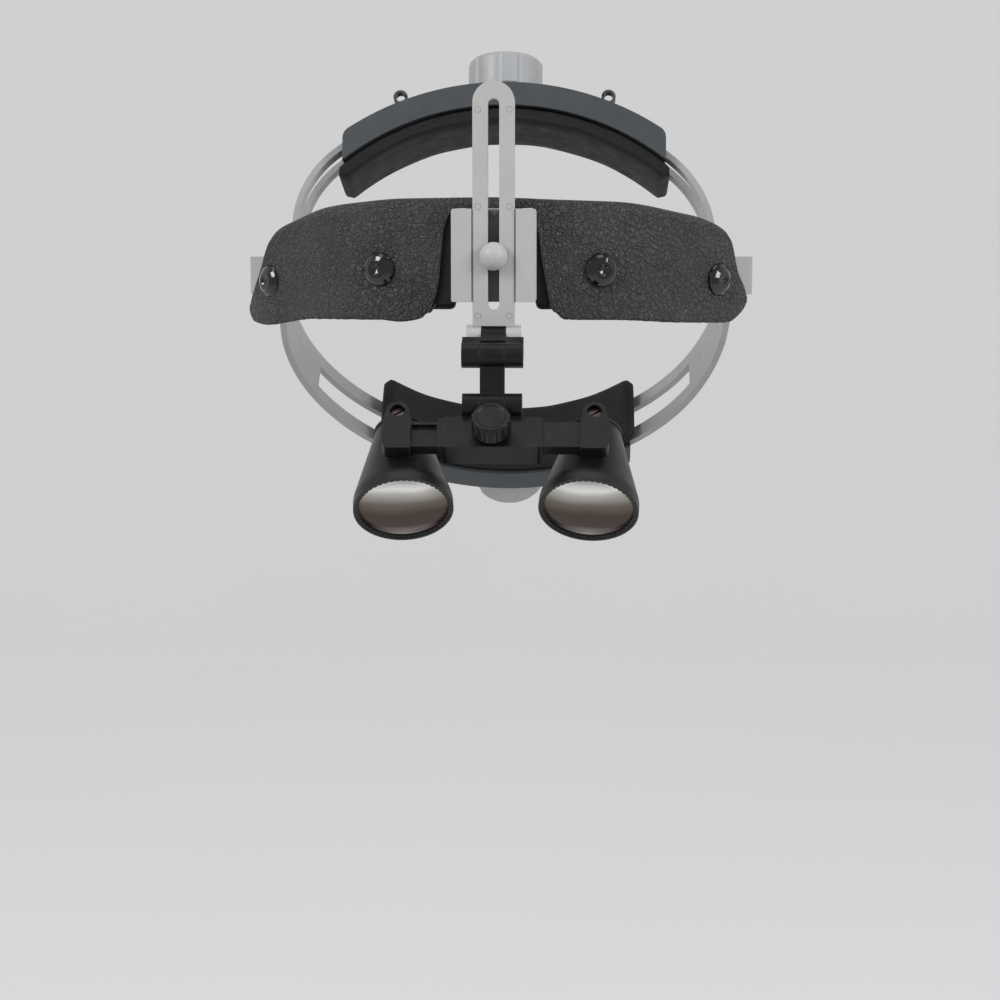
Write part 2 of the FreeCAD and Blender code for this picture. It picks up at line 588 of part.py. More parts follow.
def cap_of(radius, sag, z, up=True):
    """A spherical cap with its flat side at z, which bulges by sag."""
    ball_r = (radius ** 2 + sag ** 2) / (2 * sag)
    centre = z + sag - ball_r if up else z - sag + ball_r
    ball = Part.makeSphere(ball_r, V(0, 0, centre))
    keep = rod(radius, V(0, 0, z if up else z - 2 * sag), Z, 2 * sag)
    return ball.common(keep)


def objective_crown():
    """Front element: convex on both faces."""
    r = BORE_R - RUN
    disc = rod(r, V(0, 0, LENS_EDGE - 2.4), Z, 2.4)
    return joined([disc, cap_of(r, 1.7, LENS_EDGE)])


def objective_flint():
    """Rear element, cemented behind the front one."""
    r = BORE_R - RUN
    back = LENS_EDGE - 4.1
    return rod(r, V(0, 0, back), Z, 1.6).cut(cap_of(r - 2, 0.8, back - 0.1))


def retaining_ring():
    """A thin threaded ring with a serrated inner edge."""
    low, high = LENS_EDGE + 0.25, BARREL_LEN - 0.35
    body = tube(RING_R, BORE_R - 0.02, V(0, 0, low), Z, high - low)
    nick = box((RING_R - 0.5, RING_R + 0.3), (-0.35, 0.35), (low + 0.4, high + 1))
    return without(body, [nick.copy().rotate(V(), Z, 7.5 * n) for n in range(48)])


def eyepiece_lens():
    """The small lens at the eye, hollow on the eye side."""
    lens = rod(6.95, V(0, 0, 1.0), Z, 2.1)
    ball = Part.makeSphere(16.0, V(0, 0, 1.9 - 16.0))
    return lens.cut(ball)


def eye_ring():
    """A soft rim at the eye end."""
    profile = [V(6.0, 0, 0.7), V(6.0, 0, -0.9), V(6.6, 0, -1.5), V(8.0, 0, -1.5), V(8.6, 0, -0.9),
               V(8.6, 0, -0.1), V(6.9, 0, -0.1), V(6.9, 0, 0.7)]
    return turned(profile)


def saddle(side):
    """The foot between a barrel and its arm block."""
    rear = SCREW_Y
    top = BLOCK_Z[0] - GAP
    foot = joined([box((-4.2, 4.2), (BLOCK_FRONT - 0.2, rear), (AXIS_Z, top)),
                   rod(4.2, V(0, rear, AXIS_Z), Z, top - AXIS_Z)])
    foot = rounded(foot, 1.2, lambda e: along(e, Z) and e.Vertexes[0].Point.y < 0)
    skin = barrel_skin(0).rotate(V(), X, 90).translate(V(0, BARREL_REAR, AXIS_Z))
    foot = without(foot, [skin, rod(PIN_R + RUN, V(0, rear, -9.5), Z, 6)])
    return swing(foot, side)


# ---------------------------------------------------------------- crown and rear adjusters
def in_adjuster(shape, kind):
    """From an adjuster's frame to the headband's: it hangs on the side studs."""
    turn = FreeCAD.Rotation(X, kind["tilt"])
    centre = V(0, PIVOT_Y, PIVOT_Z) - turn.multVec(V(0, 0, kind["eye"][1]))
    shape.Placement = FreeCAD.Placement(centre, turn) * shape.Placement
    return shape


def strap_radius(kind, side):
    """The left strap runs outside the right one in the housing."""
    return kind["r"] - side * (STRAP_T + STRAP_GAP) / 2


def strap_outline(kind, radius):
    """Side view: an arc about the knob's axis, a tighter one, then a straight tab for the stud."""
    bend = math.radians(kind["bend"])
    radial = V(math.sin(bend), 0, math.cos(bend))
    joint = radial * radius
    eye_x, eye_z = kind["eye"]
    low_r = (eye_x - joint.x) / (1 - radial.x)
    centre = joint - radial * low_r
    half, foot = STRAP_T / 2, eye_z - EYE_R - 1.0

    def at(middle, r, a):
        return middle + V(math.sin(a), 0, math.cos(a)) * r

    first = math.radians(STRAP_INNER)
    edges, tops, feet = [], [], []
    for grow in (half, -half):
        r, s = radius + grow, low_r + grow
        edges.append(Part.Arc(at(V(), r, first), at(V(), r, (first + bend) / 2),
                              at(V(), r, bend)).toShape())
        level = math.pi / 2
        edges.append(Part.Arc(at(centre, s, bend), at(centre, s, (bend + level) / 2),
                              at(centre, s, level)).toShape())
        tops.append(at(V(), r, first))
        feet.append(V(eye_x + grow, 0, foot))
        edges.append(Part.LineSegment(at(centre, s, level), feet[-1]).toShape())
    edges += [Part.LineSegment(*tops).toShape(), Part.LineSegment(*feet).toShape()]
    return Part.Wire(Part.__sortEdges__(edges))


def strap(kind, side):
    """A strap with a toothed slot. Made as the right one."""
    radius = strap_radius(kind, side)
    blank = Part.Face(strap_outline(kind, radius)).extrude(V(0, 2 * STRAP_HALF, 0))
    blank.translate(V(0, -STRAP_HALF, 0))
    eye_x, eye_z = kind["eye"]
    taper = eye_z + 24.0
    side_view = joined([
        prism([V(0, -EYE_R, eye_z), V(0, -STRAP_HALF, taper), V(0, -STRAP_HALF, 120),
               V(0, STRAP_HALF, 120), V(0, STRAP_HALF, taper), V(0, EYE_R, eye_z)], V(120, 0, 0)),
        rod_x(EYE_R, (0, 120), 0, eye_z)])
    inner = box((-120, 5), (-STRAP_HALF, STRAP_HALF), (0, 120))
    blank = blank.common(joined([side_view, inner]))
    pitch = RACK_MODULE * RACK_TEETH / 2
    root, far = pitch + 0.9 * RACK_MODULE, pitch + 1.4 * RACK_MODULE
    walls = (radius - 8.0, radius + STRAP_T)
    slot = arc_wall(walls, (root + far) / 2, SLOT_INNER, kind["slot"])
    slot.translate(V(0, side * (root - far) / 2, 0))
    cut = without(blank, [slot, rod_x(BUSH_R + 0.15, (0, 120), 0, eye_z)])
    step = math.degrees(math.pi * RACK_MODULE / radius)
    depth = (radius - STRAP_T / 2, radius + STRAP_T / 2)
    one = rack_tooth(RACK_MODULE, pitch, depth)
    if side < 0:
        one = one.mirror(V(), Y)
    teeth = [one.copy().rotate(V(), Y, step * (n + 0.5)) for n in range(-6, 6)]
    made = joined([cut] + teeth)
    return made if side > 0 else mirrored(made)


def shell_radii(kind):
    """Inner and outer radius of the way that both straps run in."""
    stack = STRAP_T + STRAP_GAP / 2 + GAP
    return kind["r"] - stack, kind["r"] + stack


def ends(kind, extra, low=20.0):
    """The space between the housing's two upright ends."""
    half = kind["end"] + extra
    return box((-half, half), (-60, 60), (low, 130))


def upper_shell(kind):
    r_in, r_out = shell_radii(kind)
    blank = arc_wall((r_in - WALL, r_out + WALL), SHELL_HALF, -60, 60).common(ends(kind, 0))
    top_edges = [e for e in blank.Edges if along(e, Y) and e.BoundBox.ZMax > 55
                 and abs(e.BoundBox.XMax) > kind["end"] - 0.1 and e.CenterOfMass.Length > kind["r"]]
    blank = blank.makeFillet(4.5, top_edges)
    hollow = arc_wall((r_in - 5, r_out), SHELL_HALF - WALL, -70, 70)
    mouth = arc_wall((r_in, r_out), GUIDE_Y, -75, 75)
    return without(blank, [hollow, mouth, rod(3.0 + RUN, V(0, 0, r_out - 3), Z, 9)])


def lower_shell(kind):
    """The plate under the straps, with two guide ribs and four screw bosses."""
    r_in, r_out = shell_radii(kind)
    y = SHELL_HALF - WALL - 0.1
    plate = arc_wall((r_in - WALL, r_in), y, -60, 60)
    ribs = [arc_wall((r_in - 0.5, r_out - 0.1), 0.5, -60, 60).translate(V(0, s * (GUIDE_Y + 0.7), 0))
            for s in (-1, 1)]
    bearing = tube(2.0 + RUN, 3.4, V(0, 0, r_in - WALL), Z, WALL)
    body = joined([plate] + ribs).common(ends(kind, -0.2))
    body = body.cut(rod(3.4, V(0, 0, r_in - 4), Z, 4 + 0.1)).fuse(bearing).removeSplitter()
    holes = [rod(0.8, V(0, y_at, r_in - 4), Z, 12).rotate(V(), Y, a) for a, y_at in shell_screws()]
    return without(body, holes)


def shell_screws():
    return [(a, s * (GUIDE_Y + 1.9)) for a in (-26, 26) for s in (-1, 1)]


def shell_screw(kind, angle, y):
    """A countersunk screw from below, in line with the radius."""
    r_in, r_out = shell_radii(kind)
    screw = rod(0.8, V(0, y, r_in - WALL), Z, r_out - r_in + WALL)
    return screw.rotate(V(), Y, angle)


def foam_pad(kind):
    """Two layers of foam with a rounded lower edge."""
    r_in = shell_radii(kind)[0] - WALL
    pad = arc_wall((r_in - PAD_T, r_in - 0.1), SHELL_HALF - 1.0, -65, 65).common(ends(kind, 1.2, 10.0))
    return pad.cut(rod(3.2, V(0, 0, r_in - 1.2), Z, 3))


def wheel(kind):
    """The adjusting knob, with soft wide flutes."""
    base = shell_radii(kind)[1] + WALL + 0.9
    r, h = WHEEL_R, WHEEL_H
    body = turned([V(0, 0, base), V(r - 0.3, 0, base), V(r, 0, base + 0.4), V(r, 0, base + h - 1.4),
                   V(r - 1.2, 0, base + h), V(r - 3.4, 0, base + h + 0.3), V(0, 0, base + h + 0.3)])
    flutes = [rod(3.4, V(r + 2.75, 0, base - 1), Z, h + 3).rotate(V(), Z, 36.0 * n + 9) for n in range(10)]
    return without(body, flutes + [rod(3.0, V(0, 0, base - 1), Z, 6)])


def wheel_washer(kind):
    """A wave washer that gives the knob its drag."""
    base = shell_radii(kind)[1] + WALL
    return tube(4.5, 9.0, V(0, 0, base + 0.1), Z, 0.5)


def wheel_pinion(kind):
    r_in, r_out = shell_radii(kind)
    top = r_out + WALL + 5.5
    gear = pinion(RACK_MODULE, RACK_TEETH, (r_in + GAP, r_out - GAP), 2.0, (r_in - WALL + 0.2, top))
    return gear.fuse(rod(3.0, V(0, 0, r_out - GAP), Z, top - r_out + GAP)).removeSplitter()


def eye_bush(kind, side):
    """A sleeve on the side stud, which the strap's eye turns and floats on."""
    x, half = kind["eye"][0], kind["float"] + STRAP_T / 2 + 0.2
    return tube(STUD_R + RUN, BUSH_R, V(side * (x - half), PIVOT_Y, PIVOT_Z), X * side, 2 * half)


def cable_hook(kind, side):
    """A round clip on the housing's back, open towards the knob."""
    top = shell_radii(kind)[1] + WALL
    y = -SHELL_HALF + 2.0
    centre = top + HOOK_R + 0.5
    hook = tube(HOOK_R, HOOK_R + HOOK_T, V(0, y, centre), Y, HOOK_L)
    wedge = [V(0, y - 1, centre), V(-6, y - 1, centre - 0.4), V(-6, y - 1, centre - 2.6)]
    opening = prism(wedge, V(0, 8, 0))
    foot = box((-0.4, HOOK_R + HOOK_T), (y, y + HOOK_L), (top - 0.4, centre))
    hook = joined([hook, foot.cut(rod(HOOK_R, V(0, y - 1, centre), Y, 9))]).cut(opening)
    hook = hook.cut(rod(top, V(0, -60, 0), Y, 120))
    return hook.rotate(V(), Y, HOOK_ANGLE) if side > 0 else mirrored(hook.rotate(V(), Y, HOOK_ANGLE))


def side_stud(side):
    """A rivet through the band, the rear strap and the crown strap."""
    inner, outer = CROWN["eye"][0] - CROWN["float"] - STRAP_T / 2 - 1.4, BAND_SIDE + BAND_T / 2 + 0.1
    shank = rod(STUD_R, V(side * inner, PIVOT_Y, PIVOT_Z), X * side, outer - inner + 1.0)
    flange = rod(5.2, V(side * inner, PIVOT_Y, PIVOT_Z), X * side, 0.9)
    dome = rod(5.6, V(side * outer, PIVOT_Y, PIVOT_Z), X * side, 1.6)
    return joined([shank, flange, dome])


def adjuster(kind):
    """All the pieces of one adjuster."""
    name = kind["name"]

    def put(node, shapes):
        save("%s_%s" % (name, node), [in_adjuster(s, kind) for s in shapes])

    put("upper_shell", [upper_shell(kind)])
    put("lower_shell", [lower_shell(kind)])
    put("shell_screws", [shell_screw(kind, a, y) for a, y in shell_screws()])
    put("foam_pad", [foam_pad(kind)])
    put("knob", [wheel(kind)])
    put("pinion", [wheel_pinion(kind)])
    put("knob_washer", [wheel_washer(kind)])
    for side_name, side in SIDES:
        put("strap_" + side_name, [strap(kind, side)])
    save(name + "_bushes", [eye_bush(kind, side) for _, side in SIDES])


def headband():
    save("front_band", front_band())
    save("leather_cover", leather_cover())
    save("brow_pads", [brow_pad(side) for _, side in SIDES])
    save("snap_caps", [at_snap(snap_cap(), turn, z) for turn, z in snap_frames()])
    save("snap_sockets", [at_snap(snap_socket(), turn, z) for turn, z in snap_frames()])
    save("side_studs", [side_stud(side) for _, side in SIDES])
    save("slide_bracket", slide_bracket())
    save("bracket_backplate", bracket_backplate())
    save("bracket_screws", [bracket_screw(z) for z in bracket_screw_heights()])
    save("clamp_nut", clamp_nut())


def linkage():
    save("thumb_knob", thumb_knob())
    save("slide_bar", slide_bar())
    save("upper_link", upper_link())
    save("lower_link", lower_link())
    for number in range(3):
        save("hinge_pin_%d" % (number + 1), hinge_pin(number))


def bridge():
    save("bridge_housing", in_bridge(bridge_housing()))
    save("bridge_cover", in_bridge(bridge_cover()))
    save("pd_knob", in_bridge(pd_knob()))
    save("pd_pinion", in_bridge(pd_pinion()))
    for name, side in SIDES:
        save(name + "_arm", in_bridge(arm(side)))
        save(name + "_pivot_screw", in_bridge(pivot_screw(side)))


def barrels():
    pieces = dict(barrel=barrel_shell, objective_crown=objective_crown, objective_flint=objective_flint,
                  retaining_ring=retaining_ring, eyepiece_lens=eyepiece_lens, eye_ring=eye_ring)
    for name, side in SIDES:
        save(name + "_saddle", in_bridge(saddle(side)))
        for piece, make in pieces.items():
            save("%s_%s" % (name, piece), in_bridge(to_barrel(make(), side)))


os.makedirs("parts", exist_ok=True)
headband()
linkage()
bridge()
barrels()
adjuster(CROWN)
adjuster(REAR)
save("cable_hooks", [in_adjuster(cable_hook(CROWN, side), CROWN) for _, side in SIDES])
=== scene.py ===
"""Looks of the dental loupes: leather cover, foam pads, moulded plastic, black barrels and coated lenses.

The CAD nodes keep their shapes and get materials. The leather cover and the pads are new pieces, made from
points in millimetres. Everything else is in metres.
"""
import math

import bpy
from mathutils import Matrix, Vector, noise


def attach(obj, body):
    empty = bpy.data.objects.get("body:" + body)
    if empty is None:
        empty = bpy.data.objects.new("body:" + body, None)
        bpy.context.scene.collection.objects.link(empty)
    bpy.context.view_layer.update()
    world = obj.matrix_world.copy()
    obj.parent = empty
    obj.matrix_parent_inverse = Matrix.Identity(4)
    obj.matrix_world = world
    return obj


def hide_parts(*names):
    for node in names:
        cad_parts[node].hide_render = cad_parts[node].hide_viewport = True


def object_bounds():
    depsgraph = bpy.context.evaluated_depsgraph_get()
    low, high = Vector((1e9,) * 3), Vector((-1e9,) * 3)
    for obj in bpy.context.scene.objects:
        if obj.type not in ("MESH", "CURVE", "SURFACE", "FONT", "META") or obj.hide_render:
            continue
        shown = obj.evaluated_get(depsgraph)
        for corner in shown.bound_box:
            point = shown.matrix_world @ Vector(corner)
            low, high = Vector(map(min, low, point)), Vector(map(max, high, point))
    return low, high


MM = 0.001
FLOOR_DROP = 0.35       # the floor lies this far under the object, which is worn, not stood
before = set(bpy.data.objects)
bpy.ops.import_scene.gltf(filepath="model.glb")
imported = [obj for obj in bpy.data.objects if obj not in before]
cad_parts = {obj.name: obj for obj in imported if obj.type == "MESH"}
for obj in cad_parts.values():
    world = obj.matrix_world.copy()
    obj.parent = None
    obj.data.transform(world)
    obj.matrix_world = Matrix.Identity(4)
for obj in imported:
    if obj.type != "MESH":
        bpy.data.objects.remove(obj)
cad_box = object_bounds()

# ---- the camera stands level with the band, a little to the wearer's left, and looks down
CAMERA_AT = Vector((0.0245, -0.814, 0.0))
CAMERA_YAW = math.radians(1.83)
CAMERA_PITCH = math.radians(6.2)
CAMERA_LENS = 79.2
SIGHT_DOWN = math.radians(46.0)     # the barrels' line of sight, below the horizon

# ---- leather cover, in millimetres (radii in plan about the origin)
OUTER_R, INNER_R = 99.7, 94.7
FOLD_R = (OUTER_R - INNER_R) / 2
LEATHER_T = 1.6
END_CORNER = 50.0       # degrees of arc to where the ends begin
END_TRIM = 0.3          # degrees cut off the tip of each end, which is a short upright edge
SNAPS = ((-77.8, -6.8), (-38.0, -2.7), (34.4, -3.0), (74.4, -6.2))   # x and z of the snap caps
SNAP_R = 100.5
# the cover was cut and fitted by hand, so its halves differ: -1 is the wearer's right
# top edge, from the middle to the tip of the end: degrees of arc and height
TOP_EDGE = {-1: ((0, 20.5), (18, 20.3), (27, 19.3), (35, 17.8), (44, 13.7), (48.2, 11.3), (50.3, 8.4),
                 (51.9, 4.2), (56.5, -7.5), (58.4, -13.2), (58.8, -15.5)),
            1: ((0, 20.5), (12, 19.8), (24.5, 19.2), (38.9, 15.8), (44, 14.4), (49.3, 11.4), (51.0, 8.6),
                (51.9, 4.2), (53.3, -1.9), (55.7, -7.3), (56.4, -10.6), (56.7, -12.5))}
# outer flap's lower edge, from over the bracket round to the tip
LOW_EDGE = {-1: ((0, 16.8), (7.0, 17.0), (8.3, 15.6), (9.6, 10.5), (10.2, 1.6), (10.7, -7.1), (11.5, -12.2),
                 (12.9, -16.9), (14.9, -19.0), (18.2, -19.7), (21.9, -19.1), (38.5, -19.2), (44.2, -20.3),
                 (51.0, -21.6), (56.4, -20.6), (58.3, -17.8), (58.8, -15.5)),
            1: ((0, 16.8), (7.0, 17.0), (7.7, 16.0), (8.2, 8.4), (8.8, 0.5), (9.6, -7.3), (10.3, -12.9),
                (11.7, -17.0), (13.2, -18.9), (22.0, -19.1), (39.1, -20.4), (50.0, -20.6), (54.4, -17.4),
                (56.2, -14.3), (56.7, -12.5))}
# inner flap's lower edge: hidden behind the bracket, chamfered beside it (x and height)
LINER_EDGE = ((0, -10.0), (12.4, -10.0), (13.2, -14.0), (15.4, -16.4), (30.0, -17.6), (100.0, -18.5))
TEMPLE_FROM = (-0.064, -0.062)      # y in metres, under the leather, where the band turns grey

# ---- foam pads of the adjusters: tilt in degrees and height of the strap's eye, radii and ends
STUD_Z = -5.0
CROWN_HANG, CROWN_PAD_R, CROWN_PAD_X = (-15.0, 33.9), (87.5, 93.5), (-60.0, 60.0)
REAR_HANG, REAR_PAD_R, REAR_PAD_X = (-137.0, -15.0), (71.5, 77.5), (-49.0, 49.0)
BROW_PAD_R, BROW_PAD_HALF, BROW_PAD_X = (88.2, 93.5), 15.8, (13.0, 57.0)   # x of the wearer's left one
PAD_STEPS = 90
PAD_ROUND = 2.2         # radius of the pads' rounded ends

# ---- the front lens's painted tones: painted glints at the lower rim, brown see-through tones, a painted reflection at the top; from its lower rim to its upper one
LENS_PAINTED_TONES = ((0.0, (0.36, 0.34, 0.34)), (0.07, (0.16, 0.14, 0.135)), (0.2, (0.030, 0.019, 0.014)),
              (0.42, (0.036, 0.025, 0.018)), (0.6, (0.11, 0.092, 0.076)), (0.76, (0.35, 0.335, 0.32)),
              (0.83, (0.60, 0.60, 0.59)), (0.90, (0.50, 0.49, 0.485)), (1.0, (0.15, 0.14, 0.14)))
LENS_REFLECTION_ARC = 0.83         # radius of the painted reflection, a pale arc inside the lens's upper rim, as a share of the lens's radius
LENS_REFLECTION_ARC_HALF = 0.03
LENS_PAINTED_GLOW = 0.40        # strength of the emission that makes the painted reflections, glints and see-through tones glow in the glass, which is no lamp

# ---- colours
MOULDED_BLACK = (0.005, 0.005, 0.0052)
STRAP_GREY = (0.34, 0.34, 0.34)
# painted shade in the leather's creases
CREASE_SHADE_BLACK = (0.009, 0.009, 0.010)
# painted highlight: pale flecks on the leather's pebble tops
HIGHLIGHT_FLECK_GREY = (0.16, 0.16, 0.165)


# ---- the stage, in metres: a flat floor with a wide bend up to a wall all round
STAGE_FLAT, STAGE_BEND, STAGE_TOP = 1.8, 1.0, 3.0
STAGE_SIDES = 96
STAGE_TONE = 0.35
STAGE_FADE = (-1.6, 0.3)        # y over which its own light grows to full
STAGE_GLOW = ((0.0, (0.22, 0.22, 0.22)), (1.0, (0.415, 0.415, 0.418)))


# ---------------------------------------------------------------- materials
def new_material(name, colour, rough, metallic=0.0):
    made = bpy.data.materials.new(name)
    made.use_nodes = True
    tree = made.node_tree
    shader = tree.nodes["Principled BSDF"]
    shader.inputs["Base Color"].default_value = (*colour, 1)
    shader.inputs["Roughness"].default_value = rough
    shader.inputs["Metallic"].default_value = metallic
    return made, tree, shader


def add(tree, kind, values=None, **settings):
    node = tree.nodes.new(kind)
    for key, value in settings.items():
        setattr(node, key, value)
    for key, value in (values or {}).items():
        node.inputs[key].default_value = value
    return node


def place(tree):
    """The piece's own coordinates, in metres."""
    for node in tree.nodes:
        if node.type == "TEX_COORD":
            return node.outputs["Object"]
    return add(tree, "ShaderNodeTexCoord").outputs["Object"]


def grain(tree, scale, detail=3.0, rough=0.55, stretch=None):
    """Noise over the piece's own coordinates."""
    node = add(tree, "ShaderNodeTexNoise", {"Scale": scale, "Detail": detail, "Roughness": rough})
    source = place(tree)
    if stretch:
        mapping = add(tree, "ShaderNodeMapping", {"Scale": stretch})
        tree.links.new(source, mapping.inputs["Vector"])
        source = mapping.outputs["Vector"]
    tree.links.new(source, node.inputs["Vector"])
    return node.outputs["Fac"]


def ramp(tree, source, stops):
    """A colour ramp from (position, colour) pairs."""
    node = add(tree, "ShaderNodeValToRGB")
    while len(node.color_ramp.elements) < len(stops):
        node.color_ramp.elements.new(0.5)
    for element, (position, colour) in zip(node.color_ramp.elements, stops):
        element.position = position
        element.color = (*colour, 1)
    tree.links.new(source, node.inputs["Fac"])
    return node.outputs["Color"]


def spread(tree, source, low, high, low_in=0.3, high_in=0.7):
    """Maps a noise to a range of values."""
    node = add(tree, "ShaderNodeMapRange",
               {"From Min": low_in, "From Max": high_in, "To Min": low, "To Max": high})
    tree.links.new(source, node.inputs["Value"])
    return node.outputs["Result"]


def bump(tree, shader, source, strength, distance, edge=None):
    """Adds a bump; edge rounds the piece's sharp edges to that radius in metres."""
    node = add(tree, "ShaderNodeBump", {"Strength": strength, "Distance": distance})
    tree.links.new(source, node.inputs["Height"])
    before = shader.inputs["Normal"].links
    if before:
        tree.links.new(before[0].from_socket, node.inputs["Normal"])
    elif edge:
        bevel = add(tree, "ShaderNodeBevel", {"Radius": edge}, samples=4)
        tree.links.new(bevel.outputs["Normal"], node.inputs["Normal"])
    tree.links.new(node.outputs["Normal"], shader.inputs["Normal"])


def blended(tree, factor, first, second):
    """A mix of two colours; each is a socket or a plain colour."""
    node = add(tree, "ShaderNodeMix", data_type="RGBA")
    tree.links.new(factor, node.inputs["Factor"])
    for slot, value in ((6, first), (7, second)):
        if isinstance(value, tuple):
            node.inputs[slot].default_value = (*value, 1)
        else:
            tree.links.new(value, node.inputs[slot])
    return node.outputs[2]


def product(tree, first, second):
    node = add(tree, "ShaderNodeMath", operation="MULTIPLY")
    for slot, value in enumerate((first, second)):
        tree.links.new(value, node.inputs[slot])
    return node.outputs["Value"]


def worn_edges(tree, radius):
    """1 on rubbed edges and 0 on flat faces, broken up by a noise."""
    bevel = add(tree, "ShaderNodeBevel", {"Radius": radius}, samples=6)
    flat = add(tree, "ShaderNodeNewGeometry")
    turn = add(tree, "ShaderNodeVectorMath", operation="DOT_PRODUCT")
    tree.links.new(bevel.outputs["Normal"], turn.inputs[0])
    tree.links.new(flat.outputs["Normal"], turn.inputs[1])
    rubbed = spread(tree, turn.outputs["Value"], 0.0, 1.0, 0.98, 0.80)
    return product(tree, rubbed, spread(tree, grain(tree, 420, 4.0), 0.25, 1.0))


def tints(colour, amount):
    """A darker and a lighter version of a colour."""
    return [tuple(c * (1 + s * amount) for c in colour) for s in (-1, 1)]


def plastic(name, colour, rough, texture=2600, depth=0.00003, edge=0.0003, tint=0.06, coat=0.0, wear=1.25,
            uneven=0.07, gleam=0.5):
    """Moulded plastic: a fine spark texture, faint flow marks, handling polish and rubbed edges."""
    made, tree, shader = new_material(name, colour, rough)
    dark, light = tints(colour, tint)
    flow = ramp(tree, grain(tree, 90, 4.0), [(0.35, dark), (0.65, light)])
    rubbed = tuple(c * wear for c in colour)
    tree.links.new(blended(tree, worn_edges(tree, 2 * edge), flow, rubbed), shader.inputs["Base Color"])
    polish = grain(tree, 260, 5.0)
    tree.links.new(spread(tree, polish, rough - uneven, rough + uneven), shader.inputs["Roughness"])
    bump(tree, shader, grain(tree, texture, 2.0), 0.35, depth, edge)
    shader.inputs["Coat Weight"].default_value = coat
    shader.inputs["Specular IOR Level"].default_value = gleam
    return made


def band_plastic():
    """Black over the forehead, and the straps' grey past the leather's ends."""
    made = plastic("band_plastic", MOULDED_BLACK, 0.4, 3000, 0.00003, 0.0004, 0.12, gleam=0.3)
    tree = made.node_tree
    shader = tree.nodes["Principled BSDF"]
    split = add(tree, "ShaderNodeSeparateXYZ")
    tree.links.new(place(tree), split.inputs[0])
    past = spread(tree, split.outputs["Y"], 0.0, 1.0, *TEMPLE_FROM)
    forehead = shader.inputs["Base Color"].links[0].from_socket
    tree.links.new(blended(tree, past, forehead, STRAP_GREY), shader.inputs["Base Color"])
    return made


def leather():
    """Black grained leather: soft pebbles of two sizes, painted shade in the creases and small pale painted
    highlight flecks on the tops.
    """
    made, tree, shader = new_material("black_leather", (0.035, 0.035, 0.036), 0.5)
    warp = add(tree, "ShaderNodeTexNoise", {"Scale": 380.0, "Detail": 3.0})
    mixed = add(tree, "ShaderNodeMix", {"Factor": 0.0020}, data_type="VECTOR")
    tree.links.new(place(tree), warp.inputs["Vector"])
    tree.links.new(place(tree), mixed.inputs[4])
    tree.links.new(warp.outputs["Color"], mixed.inputs[5])

    def pebbles(scale, shoulder):
        cells = add(tree, "ShaderNodeTexVoronoi", {"Scale": scale, "Randomness": 1.0},
                    feature="DISTANCE_TO_EDGE")
        tree.links.new(mixed.outputs[1], cells.inputs["Vector"])
        rise = add(tree, "ShaderNodeMapRange", {"From Min": 0.0, "From Max": shoulder},
                   interpolation_type="SMOOTHSTEP")
        tree.links.new(cells.outputs["Distance"], rise.inputs["Value"])
        return rise.outputs["Result"]

    large, fine = pebbles(540.0, 0.20), pebbles(1150.0, 0.30)
    where = spread(tree, grain(tree, 30, 2.0), 0.50, 1.0, 0.38, 0.58)
    mottle = ramp(tree, grain(tree, 55, 4.0), [(0.3, (0.034, 0.034, 0.035)), (0.7, (0.050, 0.049, 0.049))])
    # painted shade: the pebbles' borders are darkened as crease shade
    crease_shade = product(tree, spread(tree, large, 0.8, 0.0, 0.0, 0.6), where)
    # painted highlight: small pale flecks on the pebble tops
    highlight_fleck = ramp(tree, grain(tree, 950, 2.0), [(0.62, (0, 0, 0)), (0.70, (1, 1, 1))])
    skin = blended(tree, product(tree, highlight_fleck, fine), mottle, HIGHLIGHT_FLECK_GREY)
    tree.links.new(blended(tree, crease_shade, skin, CREASE_SHADE_BLACK), shader.inputs["Base Color"])
    tree.links.new(spread(tree, fine, 0.62, 0.34, 0.1, 0.9), shader.inputs["Roughness"])
    bump(tree, shader, grain(tree, 110, 3.0), 0.5, 0.0006)
    bump(tree, shader, fine, 1.0, 0.00022)
    bump(tree, shader, product(tree, large, where), 1.0, 0.00030)
    shader.inputs["Specular IOR Level"].default_value = 0.5
    return made


def raw_edge():
    """The leather's cut edge: fibrous, matt, blue-grey from its dye."""
    made, tree, shader = new_material("raw_leather_edge", (0.04, 0.043, 0.055), 0.9)
    fibres = grain(tree, 1500, 5.0, 0.7)
    tree.links.new(ramp(tree, fibres, [(0.35, (0.014, 0.015, 0.019)), (0.7, (0.085, 0.090, 0.115))]),
                   shader.inputs["Base Color"])
    bump(tree, shader, fibres, 1.0, 0.0003)
    shader.inputs["Sheen Weight"].default_value = 0.3
    return made


def foam():
    """Black foam under a fine knitted skin."""
    made, tree, shader = new_material("black_foam", (0.012, 0.012, 0.013), 0.72)
    wale = add(tree, "ShaderNodeTexVoronoi", {"Scale": 1500.0, "Randomness": 0.35})
    stretch = add(tree, "ShaderNodeMapping", {"Scale": (1.0, 1.0, 1.7)})
    tree.links.new(place(tree), stretch.inputs["Vector"])
    tree.links.new(stretch.outputs["Vector"], wale.inputs["Vector"])
    lumps = grain(tree, 130, 4.0)
    tree.links.new(ramp(tree, lumps, [(0.3, (0.006, 0.006, 0.0065)), (0.75, (0.014, 0.014, 0.015))]),
                   shader.inputs["Base Color"])
    tree.links.new(spread(tree, lumps, 0.55, 0.85), shader.inputs["Roughness"])
    bump(tree, shader, lumps, 0.5, 0.0006)
    bump(tree, shader, wale.outputs["Distance"], 0.6, 0.00015)
    shader.inputs["Sheen Weight"].default_value = 0.04
    shader.inputs["Specular IOR Level"].default_value = 0.25
    return made


